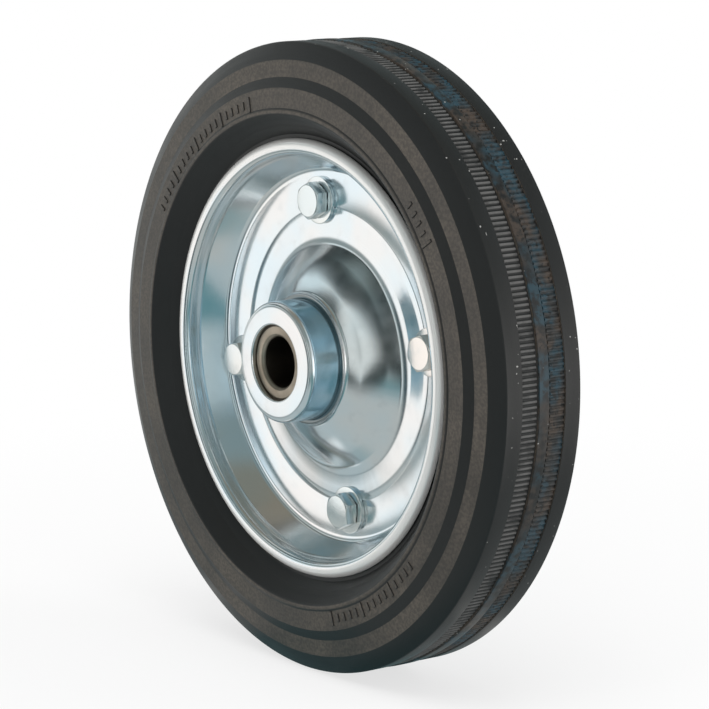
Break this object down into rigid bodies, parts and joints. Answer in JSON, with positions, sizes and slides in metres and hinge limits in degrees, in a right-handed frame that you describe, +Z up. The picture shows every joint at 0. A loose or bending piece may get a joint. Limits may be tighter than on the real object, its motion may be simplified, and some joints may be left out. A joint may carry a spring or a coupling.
{
  "type": "replacement wheel",
  "caption": "Solid rubber tyred wheel with a ribbed tread on two bolted pressed steel rim halves, with a caged roller bearing in its hub tube.",
  "frame": {"origin": "centre of the wheel, on the axle's line, midway between the two sidewalls", "axes": "+Y along the axle, with the bolt heads' side facing -Y; +Z up; +X across the wheel"},
  "size_m": [0.25, 0.064, 0.25],
  "materials": {
    "black_rubber": "moulded, dull with a faint sheen",
    "zinc_pressing": "bright zinc plated, pale blue passivated",
    "zinc_hub": "bright zinc plated, pale blue passivated",
    "zinc_fastener": "zinc plated",
    "zinc_washer": "zinc plated",
    "bearing_steel": "ground, oiled",
    "roller_steel": "ground",
    "cage_plastic": "moulded nylon",
    "thrust_plastic": "moulded nylon"
  },
  "bodies": {
    "sleeve": {"inner_sleeve": "bearing_steel"},
    "wheel": {"tyre": "black_rubber", "rim_front": "zinc_pressing", "rim_rear": "zinc_pressing", "hub_tube": "zinc_hub", "thrust_washer_front": "thrust_plastic", "thrust_washer_rear": "thrust_plastic", "hex_bolts": "zinc_fastener", "hex_nuts": "zinc_fastener", "head_washers": "zinc_washer", "nut_washers": "zinc_washer"},
    "cage": {"roller_cage": "cage_plastic"},
    "roller_01": {"roller_01": "roller_steel"},
    "roller_02": {"roller_02": "roller_steel"},
    "roller_03": {"roller_03": "roller_steel"},
    "roller_04": {"roller_04": "roller_steel"},
    "roller_05": {"roller_05": "roller_steel"},
    "roller_06": {"roller_06": "roller_steel"},
    "roller_07": {"roller_07": "roller_steel"},
    "roller_08": {"roller_08": "roller_steel"},
    "roller_09": {"roller_09": "roller_steel"},
    "roller_10": {"roller_10": "roller_steel"},
    "roller_11": {"roller_11": "roller_steel"},
    "roller_12": {"roller_12": "roller_steel"}
  },
  "joints": [
    {"name": "wheel_spin", "type": "hinge", "parent": "sleeve", "child": "wheel", "pos_m": [0, 0, 0], "axis": [0, 1, 0], "continuous": true},
    {"name": "cage_spin", "type": "hinge", "parent": "sleeve", "child": "cage", "pos_m": [0, 0, 0], "axis": [0, 1, 0], "continuous": true},
    {"name": "roller_01_spin", "type": "hinge", "parent": "cage", "child": "roller_01", "pos_m": [0.01775, 0, 0], "axis": [0, 1, 0], "continuous": true},
    {"name": "roller_02_spin", "type": "hinge", "parent": "cage", "child": "roller_02", "pos_m": [0.01537, 0, 0.00887], "axis": [0, 1, 0], "continuous": true},
    {"name": "roller_03_spin", "type": "hinge", "parent": "cage", "child": "roller_03", "pos_m": [0.00887, 0, 0.01537], "axis": [0, 1, 0], "continuous": true},
    {"name": "roller_04_spin", "type": "hinge", "parent": "cage", "child": "roller_04", "pos_m": [0, 0, 0.01775], "axis": [0, 1, 0], "continuous": true},
    {"name": "roller_05_spin", "type": "hinge", "parent": "cage", "child": "roller_05", "pos_m": [-0.00887, 0, 0.01537], "axis": [0, 1, 0], "continuous": true},
    {"name": "roller_06_spin", "type": "hinge", "parent": "cage", "child": "roller_06", "pos_m": [-0.01537, 0, 0.00887], "axis": [0, 1, 0], "continuous": true},
    {"name": "roller_07_spin", "type": "hinge", "parent": "cage", "child": "roller_07", "pos_m": [-0.01775, 0, 0], "axis": [0, 1, 0], "continuous": true},
    {"name": "roller_08_spin", "type": "hinge", "parent": "cage", "child": "roller_08", "pos_m": [-0.01537, 0, -0.00887], "axis": [0, 1, 0], "continuous": true},
    {"name": "roller_09_spin", "type": "hinge", "parent": "cage", "child": "roller_09", "pos_m": [-0.00887, 0, -0.01537], "axis": [0, 1, 0], "continuous": true},
    {"name": "roller_10_spin", "type": "hinge", "parent": "cage", "child": "roller_10", "pos_m": [0, 0, -0.01775], "axis": [0, 1, 0], "continuous": true},
    {"name": "roller_11_spin", "type": "hinge", "parent": "cage", "child": "roller_11", "pos_m": [0.00887, 0, -0.01537], "axis": [0, 1, 0], "continuous": true},
    {"name": "roller_12_spin", "type": "hinge", "parent": "cage", "child": "roller_12", "pos_m": [0.01537, 0, -0.00887], "axis": [0, 1, 0], "continuous": true}
  ],
  "couplings": [
    {"joint": "cage_spin", "follows": "wheel_spin", "ratio": 0.59014},
    {"joint": "roller_01_spin", "follows": "wheel_spin", "ratio": 2.6833},
    {"joint": "roller_02_spin", "follows": "wheel_spin", "ratio": 2.6833},
    {"joint": "roller_03_spin", "follows": "wheel_spin", "ratio": 2.6833},
    {"joint": "roller_04_spin", "follows": "wheel_spin", "ratio": 2.6833},
    {"joint": "roller_05_spin", "follows": "wheel_spin", "ratio": 2.6833},
    {"joint": "roller_06_spin", "follows": "wheel_spin", "ratio": 2.6833},
    {"joint": "roller_07_spin", "follows": "wheel_spin", "ratio": 2.6833},
    {"joint": "roller_08_spin", "follows": "wheel_spin", "ratio": 2.6833},
    {"joint": "roller_09_spin", "follows": "wheel_spin", "ratio": 2.6833},
    {"joint": "roller_10_spin", "follows": "wheel_spin", "ratio": 2.6833},
    {"joint": "roller_11_spin", "follows": "wheel_spin", "ratio": 2.6833},
    {"joint": "roller_12_spin", "follows": "wheel_spin", "ratio": 2.6833}
  ]
}
